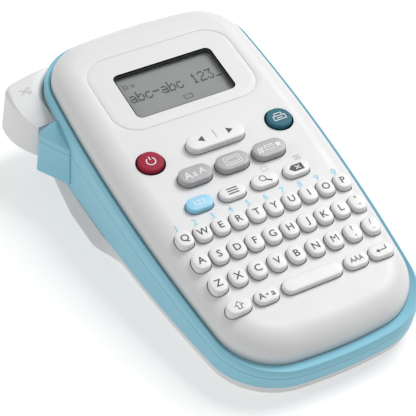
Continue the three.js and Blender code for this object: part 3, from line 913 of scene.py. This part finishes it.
def cutter_lever():
    """The paddle: softly rounded on top, with a dip beside the band and a slope to the user."""
    rounding = 2.2
    dip_clearance = 0.4
    height = LEVER_TOP - LEVER_FOOT
    rings = []
    for inset, n in [(0.5, LEVER_FOOT), (0.15, LEVER_FOOT + 0.15), (0, LEVER_FOOT + 0.5)]:
        rings.append((LEVER_FLARE, inset, n))
    for angle in np.linspace(0, math.pi / 2, 7):
        n = LEVER_TOP - rounding * (1 - math.sin(angle))
        flare = LEVER_FLARE * (LEVER_TOP - n) / height
        rings.append((flare, rounding * (1 - math.cos(angle)), n))
    solid = loft(
        "cutter_lever",
        [[(p.x, p.y, n) for p in lever_plan(flare, inset)] for flare, inset, n in rings],
        MATERIALS["white_shell"])
    roll = []
    for angle in np.linspace(0, math.pi / 2, 8):
        out = BAND_PROUD + dip_clearance + LEVER_ROLL * (1 - math.cos(angle))
        roll.append(body_ring(out, LEVER_DIP + (LEVER_TOP - LEVER_DIP) * math.sin(angle)))
    roll.append(body_ring(BAND_PROUD + LEVER_ROLL + 2, 0))
    combine(solid, loft("roll", roll, PAINTED_SHADE_DARK), "DIFFERENCE")
    combine(solid, lever_slope(), "DIFFERENCE")
    return smooth(solid, 50)


def lever_slope():
    """What lies above the lever's top, which falls away towards the user and outwards."""
    rings = []
    for reach in np.linspace(0, 1, 15):
        v = LEVER_SLOPE_FROM - LEVER_SLOPE_LENGTH * reach
        outer = LEVER_TOP - LEVER_OUTER_FALL * reach ** 2
        inner = LEVER_TOP - LEVER_INNER_FALL * reach ** 2
        rings.append([(-78, v, outer), (-52, v, inner), (-52, v, 0), (-78, v, 0)])
    return loft("slope", rings, PAINTED_SHADE_DARK)


# ---- display ----


def display_window():
    """The clear pane, with small bevels all round."""
    low, high = face_box("display_window")
    width = high.x - low.x
    height = high.y - low.y
    edge = 0.1
    corner = 2
    under = high.z - WINDOW["thickness"]
    profile = [(-edge, under), (0, under + edge), (0, high.z - edge), (-edge, high.z)]
    rings = []
    for margin, n in profile:
        points = rounded(width + 2 * margin, height + 2 * margin, corner + margin)
        rings.append([(WINDOW["u"] + u, WINDOW["v"] + v, n) for u, v in points])
    return smooth(loft("display_window", rings, MATERIALS["clear_window"]))


def lcd_panel():
    low, high = face_box("lcd_panel")
    panel = block(low.x, high.x, low.y, high.y, low.z, PANEL_TOP)
    panel.name = "lcd_panel"
    panel.data.materials[0] = MATERIALS["lcd"]
    return smooth(bevel(panel, 0.25, 2))


# Dot-matrix letters, seven rows of five dots from the top.
DOTS = {
    "a": ".....|.....|.###.|....#|.####|#...#|.####",
    "b": "#....|#....|#.##.|##..#|#...#|#...#|####.",
    "c": ".....|.....|.###.|#....|#....|#...#|.###.",
    "-": ".....|.....|.....|#####|.....|.....|.....",
    "1": "..#..|.##..|..#..|..#..|..#..|..#..|.###.",
    "2": ".###.|#...#|....#|..##.|.#...|#....|#####",
    "3": "#####|...#.|..#..|...#.|....#|#...#|.###.",
    "_": ".....|.....|.....|.....|.....|.....|#####",
    " ": ".....|.....|.....|.....|.....|.....|.....",
}


def display_text():
    """The message and small marks that the display shows."""
    n = PANEL_TOP + 0.04
    width, height = DOT_PITCH
    rectangles = []
    for i, letter in enumerate(DISPLAY_TEXT):
        for row, line in enumerate(DOTS[letter].split("|")):
            for column, dot in enumerate(line):
                if dot == "#":
                    u = TEXT_START[0] + i * LETTER_PITCH + column * width
                    v = TEXT_START[1] - row * height
                    rectangles.append((u, v - height, u + width, v))
    line = SEGMENT_LINE
    for u, v, width, height in SMALL_MARKS:
        rectangles.append((u, v, u + width, v + line))
        rectangles.append((u, v + height - line, u + width, v + height))
        rectangles.append((u, v, u + line, v + height))
        rectangles.append((u + width - line, v, u + width, v + height))
    points = []
    for u0, v0, u1, v1 in rectangles:
        points += [(u0, v0, n), (u1, v0, n), (u1, v1, n), (u0, v1, n)]
    faces = [(i, i + 1, i + 2, i + 3) for i in range(0, len(points), 4)]
    return new_object("display_text", points, faces, LCD_INK)


# ---- keys and their legends ----


def key_cap(key):
    """A plunger with a round shoulder and a gently domed top."""
    shoulder_low = key.top - KEY_CROWN - KEY_SHOULDER
    levels = [(0, key.foot)]
    for angle in np.linspace(0, math.pi / 2, 7):
        inset = KEY_SHOULDER * (1 - math.cos(angle))
        levels.append((-inset, shoulder_low + KEY_SHOULDER * math.sin(angle)))
    rings = [[(u, v, n) for u, v in key.outline(margin)] for margin, n in levels]
    rim = [(u, v) for u, v, _ in rings[-1]]
    straight = max(0, (key.width - key.height) / 2)
    for share in (0.85, 0.65, 0.4, 0.15):
        ring = []
        for u, v in rim:
            along = math.copysign(min(abs(u), straight), u)
            ring.append((along + (u - along) * share, v * share, key.crown(share)))
        rings.append(ring)
    moved = [[(key.u + u, key.v + v, n) for u, v, n in ring] for ring in rings]
    return smooth(loft(key.name, moved, MATERIALS[key.slot]), 60)


# Marks are flat shapes, (points, faces), in millimetres round their own middle.


def text_shape(text, height, bold=LETTER_BOLD):
    """A line of text whose capital letters have this height.

    An M isn't made bolder: the small steps in its outline would cross.
    """
    curve = bpy.data.curves.new("text", "FONT")
    curve.body = text
    curve.offset = 0 if "M" in text else bold
    curve.resolution_u = 3
    holder = bpy.data.objects.new("text", curve)
    bpy.context.scene.collection.objects.link(holder)
    bpy.context.view_layer.update()
    evaluated = holder.evaluated_get(bpy.context.evaluated_depsgraph_get())
    mesh = bpy.data.meshes.new_from_object(evaluated)
    bpy.data.objects.remove(holder)
    points = [v.co.copy() for v in mesh.vertices]
    faces = [tuple(p.vertices) for p in mesh.polygons]
    scale = height / CAPITAL_HEIGHT
    middle = (min(p.x for p in points) + max(p.x for p in points)) / 2
    half = CAPITAL_HEIGHT / 2
    return [((p.x - middle) * scale, (p.y - half) * scale) for p in points], faces


def filled(points):
    return points, [tuple(range(len(points)))]


def stroke(line, width, closed=False):
    """A ribbon along a line of points."""
    line = [Vector(p) for p in line]
    count = len(line)
    points = []
    for i, point in enumerate(line):
        into = point - line[i - 1] if closed or i else line[1] - point
        onward = line[(i + 1) % count] - point if closed or i < count - 1 else into
        tangent = (into.normalized() + onward.normalized()).normalized()
        mitre = max(0.5, tangent.dot(into.normalized()))
        across = Vector((-tangent.y, tangent.x)) * width / 2 / mitre
        points += [point + across, point - across]
    faces = []
    for i in range(count if closed else count - 1):
        a = 2 * i
        b = 2 * ((i + 1) % count)
        faces.append((a, a + 1, b + 1, b))
    return points, faces


def shifted(shape, u, v):
    points, faces = shape
    return [(p[0] + u, p[1] + v) for p in points], faces


def cross(half_width, half_height, width):
    corner = (half_width, half_height)
    other = (half_width, -half_height)
    return [stroke([(-p[0], -p[1]), p], width) for p in (corner, other)]


def box(half_width, half_height, width):
    ring = [(-1, -1), (1, -1), (1, 1), (-1, 1)]
    return stroke([(u * half_width, v * half_height) for u, v in ring], width, closed=True)


def star(radius):
    points = []
    for i in range(10):
        angle = math.radians(90 + 36 * i)
        reach = radius if i % 2 == 0 else radius * 0.45
        points.append((reach * math.cos(angle), reach * math.sin(angle)))
    return filled(points)


def power_mark():
    return [
        stroke(arc_points((0, -0.2), 2.1, 125, 415, 28), 0.5),
        stroke([(0, 0.5), (0, 2.6)], 0.5),
    ]


def print_mark():
    return [
        stroke([(-3, -1.6), (3, -1.6), (3, 0.8), (-3, 0.8)], 0.4, closed=True),
        stroke([(-1.8, 0.8), (-1.8, 2.4), (1.8, 2.4), (1.8, 0.8)], 0.4),
        stroke([(-1.6, -0.5), (1.6, -0.5)], 0.4),
    ]


def cursor_mark():
    return [
        filled([(-9, 0.5), (-6, -1.3), (-6, 2.3)]),
        filled([(9, 0.5), (6, 2.3), (6, -1.3)]),
    ]


def font_mark():
    return [
        shifted(text_shape("A", 3.8, MARK_BOLD), -3.8, -0.2),
        shifted(text_shape("a", 3.4, MARK_BOLD), -0.4, 0),
        shifted(text_shape("A", 3.4, MARK_BOLD), 3.4, 0.3),
    ]


def frame_mark():
    return [
        stroke(rounded(8, 4.6, 0.8, 3), 0.4, closed=True),
        stroke(rounded(5.6, 2.4, 0.3, 2), 0.35, closed=True),
    ]


def symbol_mark():
    return [
        shifted(text_shape("#", 3.6, MARK_BOLD), -4.6, 0),
        stroke([(-2, -1.3), (2, -1.3), (2, 1.5), (-2, 1.5)], 0.35, closed=True),
        stroke([(-1.8, 1.3), (0, 0), (1.8, 1.3)], 0.35),
        shifted(star(1.9), 4.6, 0.1),
    ]


def menu_mark():
    return [stroke([(-2.6, v), (2.6, v)], 0.6) for v in (-1.4, 0, 1.4)]


def preview_mark():
    return [
        stroke(arc_points((-0.9, 0.6), 1.5, 0, 345, 20), 0.4, closed=True),
        stroke([(0.3, -0.5), (2.7, -2)], 0.8),
    ]


def delete_mark():
    return [filled([(-3.8, 0), (-2, -1.9), (3.2, -1.9), (3.2, 1.9), (-2, 1.9)])]


def shift_mark():
    outline = [(-0.8, -1.8), (0.8, -1.8), (0.8, 0), (1.8, 0), (0, 1.9), (-1.8, 0), (-0.8, 0)]
    return [stroke(outline, 0.35, closed=True)]


def caps_mark():
    return [
        shifted(text_shape("A", 3), -2.6, 0),
        shifted(text_shape("a", 3), 2.8, 0),
        filled([(-0.7, 0), (0.5, -0.7), (0.5, 0.7)]),
    ]


def enter_mark():
    return [
        stroke([(2.2, 1.6), (2.2, -0.3), (-1.5, -0.3)], 0.5),
        filled([(-3, -0.3), (-1.4, -1.4), (-1.4, 0.8)]),
    ]


def scissors_mark():
    marks = [stroke([(-2.4, -1.6 * side), (1.2, 0.9 * side)], 0.3) for side in (1, -1)]
    for v in (-1.3, 1.3):
        marks.append(stroke(arc_points((2, v), 0.8, 0, 340, 16), 0.25, closed=True))
    return marks


def two_rows(upper, lower):
    return [shifted(text_shape(upper, 2.6), 0, 1.6), shifted(text_shape(lower, 2.6), 0, -1.2)]


MARKS = {
    "key_power": (power_mark, WHITE_INK),
    "key_print": (print_mark, WHITE_INK),
    "key_cursor": (cursor_mark, DARK_INK),
    "key_font": (font_mark, WHITE_INK),
    "key_frame": (frame_mark, WHITE_INK),
    "key_symbol": (symbol_mark, WHITE_INK),
    "key_num": (lambda: [text_shape("123", 2.8, MARK_BOLD)], WHITE_INK),
    "key_menu": (menu_mark, DARK_INK),
    "key_preview": (preview_mark, DARK_INK),
    "key_delete": (delete_mark, DARK_INK),
    "key_shift": (shift_mark, DARK_INK),
    "key_caps": (caps_mark, DARK_INK),
    "key_accent": (lambda: [text_shape("\u00c0\u00c2\u00c4", 2.2)], DARK_INK),
    "key_enter": (enter_mark, DARK_INK),
    "key_dash": (lambda: two_rows('"', "-"), DARK_INK),
    "key_comma": (lambda: two_rows("?", ","), DARK_INK),
    "key_period": (lambda: two_rows("/", "."), DARK_INK),
}


def printed(name, shapes, middle, height, material):
    """Marks on a surface. height gives n at a point measured from the middle."""
    points = []
    faces = []
    for shape_points, shape_faces in shapes:
        first = len(points)
        for u, v in shape_points:
            points.append((middle[0] + u, middle[1] + v, height(u, v) + PRINT_HEIGHT))
        faces += [tuple(first + i for i in face) for face in shape_faces]
    return new_object(name, points, faces, material)


def key_legend(key):
    """The marks on a key's top: its letter, unless it has a mark of its own."""
    if key.name in MARKS:
        make, ink = MARKS[key.name]
        shapes = make()
    else:
        shapes = [text_shape(key.name[-1].upper(), LETTER_HEIGHT)]
        ink = DARK_INK

    def dome(u, v):
        return key.crown(key.share(u, v))

    return printed(f"legend_{key.name}", shapes, (key.u, key.v), dome, ink)


def second_marks():
    """The white cross on the delete key's mark, and the faint line between the cursor's arrows."""
    lift = PRINT_HEIGHT / 2
    keys = {key.name: key for key in KEYS}
    white_cross = [shifted(shape, 0.5, 0) for shape in cross(1.1, 1, 0.5)]
    line = [stroke([(0, -1.2), (0, 3.6)], 0.35)]
    marks = [("key_delete", white_cross, WHITE_INK), ("key_cursor", line, GREY_INK)]
    for name, shapes, ink in marks:
        key = keys[name]
        mark = printed(f"mark_{name}", shapes, (key.u, key.v), lambda u, v: key.top + lift, ink)
        show(mark, name)


def number_legends():
    """The digits printed on the cover, above the first row of letters."""
    keys = {key.name: key for key in KEYS}
    for digit, letter in zip("1234567890", "qwertyuiop"):
        middle = (keys[f"key_{letter}"].u, NUMBER_LINE)
        shapes = [text_shape(digit, DIGIT_HEIGHT, MARK_BOLD)]
        show(printed(f"number_{digit}", shapes, middle, lambda u, v: 0, BLUE_INK), "housing")


def cover_icons():
    """Two faint marks above the preview and delete keys."""
    frame_line = [box(1.4, 1.2, 0.22)]
    crossed = frame_line + cross(1, 1, 0.25)
    icons = [("box_icon", frame_line, BOX_ICON_U), ("cross_icon", crossed, CROSS_ICON_U)]
    for name, shapes, middle_u in icons:
        show(printed(name, shapes, (middle_u, ICON_LINE), lambda u, v: 0, GREY_INK), "housing")


def lever_mark():
    """The scissors on the lever's top."""
    return printed("scissors", scissors_mark(), SCISSORS_AT, lambda u, v: LEVER_TOP, GREY_INK)


# ---- the pieces on their bodies ----

FIXED_PIECES = {
    "top_cover": top_cover,
    "upper_band": upper_band,
    "main_housing": main_housing,
    "back_cover": back_cover,
    "display_window": display_window,
    "lcd_panel": lcd_panel,
}
for name, make in FIXED_PIECES.items():
    show(make(), "housing", name, SLOTS[name])
show(window_frame(), "housing")
show(display_text(), "housing")
show(cutter_lever(), "cutter_lever", "cutter_lever", SLOTS["cutter_lever"])
show(lever_mark(), "cutter_lever")
number_legends()
cover_icons()
second_marks()
for key in KEYS:
    show(key_cap(key), key.name, key.name, key.slot)
    if key.name != "key_space":
        show(key_legend(key), key.name)

for node, obj in frame["nodes"].items():
    obj.data.materials.clear()
    obj.data.materials.append(MATERIALS[SLOTS[node]])

# ---- stage ----

SKY = 0.45
FLOOR_GLOW = 0.5
FLOOR_HALF = 3            # metres
LENS = 121.15
CAMERA_FROM_FACE = Vector((-0.2382, -0.41635, 0.4060))
CAMERA_TILT = math.radians(47.965)
CAMERA_TURN = math.radians(-28.486)


def stage():
    """A pale floor that gives off a little light of its own."""
    mesh = bpy.data.meshes.new("floor")
    corners = [(x * FLOOR_HALF, y * FLOOR_HALF, 0) for x, y in ((-1, -1), (1, -1), (1, 1), (-1, 1))]
    mesh.from_pydata(corners, [], [(0, 1, 2, 3)])
    floor = bpy.data.objects.new("floor", mesh)
    paper = surface("floor", linear(188, 188, 188), 0.8, grain=0.0, mottle=0.002)
    shader = paper.node_tree.nodes["Principled BSDF"]
    shader.inputs["Emission Color"].default_value = (1, 1, 1, 1)
    shader.inputs["Emission Strength"].default_value = FLOOR_GLOW
    mesh.materials.append(paper)
    bpy.context.scene.collection.objects.link(floor)


def lamp(name, position, size, power):
    """A square light that points at the part."""
    light = bpy.data.lights.new(name, "AREA")
    light.size = size
    light.energy = power
    obj = bpy.data.objects.new(name, light)
    obj.location = position
    obj.rotation_euler = (-Vector(position)).to_track_quat("-Z", "Y").to_euler()
    bpy.context.scene.collection.objects.link(obj)


def lights():
    world = bpy.data.worlds.new("studio")
    world.use_nodes = True
    world.node_tree.nodes["Background"].inputs["Color"].default_value = (1, 1, 1, 1)
    world.node_tree.nodes["Background"].inputs["Strength"].default_value = SKY
    bpy.context.scene.world = world
    lamp("key_light", (1.78, 0.6, 2.24), 1.4, 70)
    lamp("left_fill", (-2.4, 0.3, 1.6), 2, 14)


def camera():
    data = bpy.data.cameras.new("camera")
    data.lens = LENS
    obj = bpy.data.objects.new("camera", data)
    obj.location = FACE @ Vector((0, 0, 0)) + CAMERA_FROM_FACE
    obj.rotation_euler = (CAMERA_TILT, 0, CAMERA_TURN)
    bpy.context.scene.collection.objects.link(obj)
    bpy.context.scene.camera = obj


stage()
lights()
camera()
bpy.context.scene.view_settings.view_transform = "Standard"
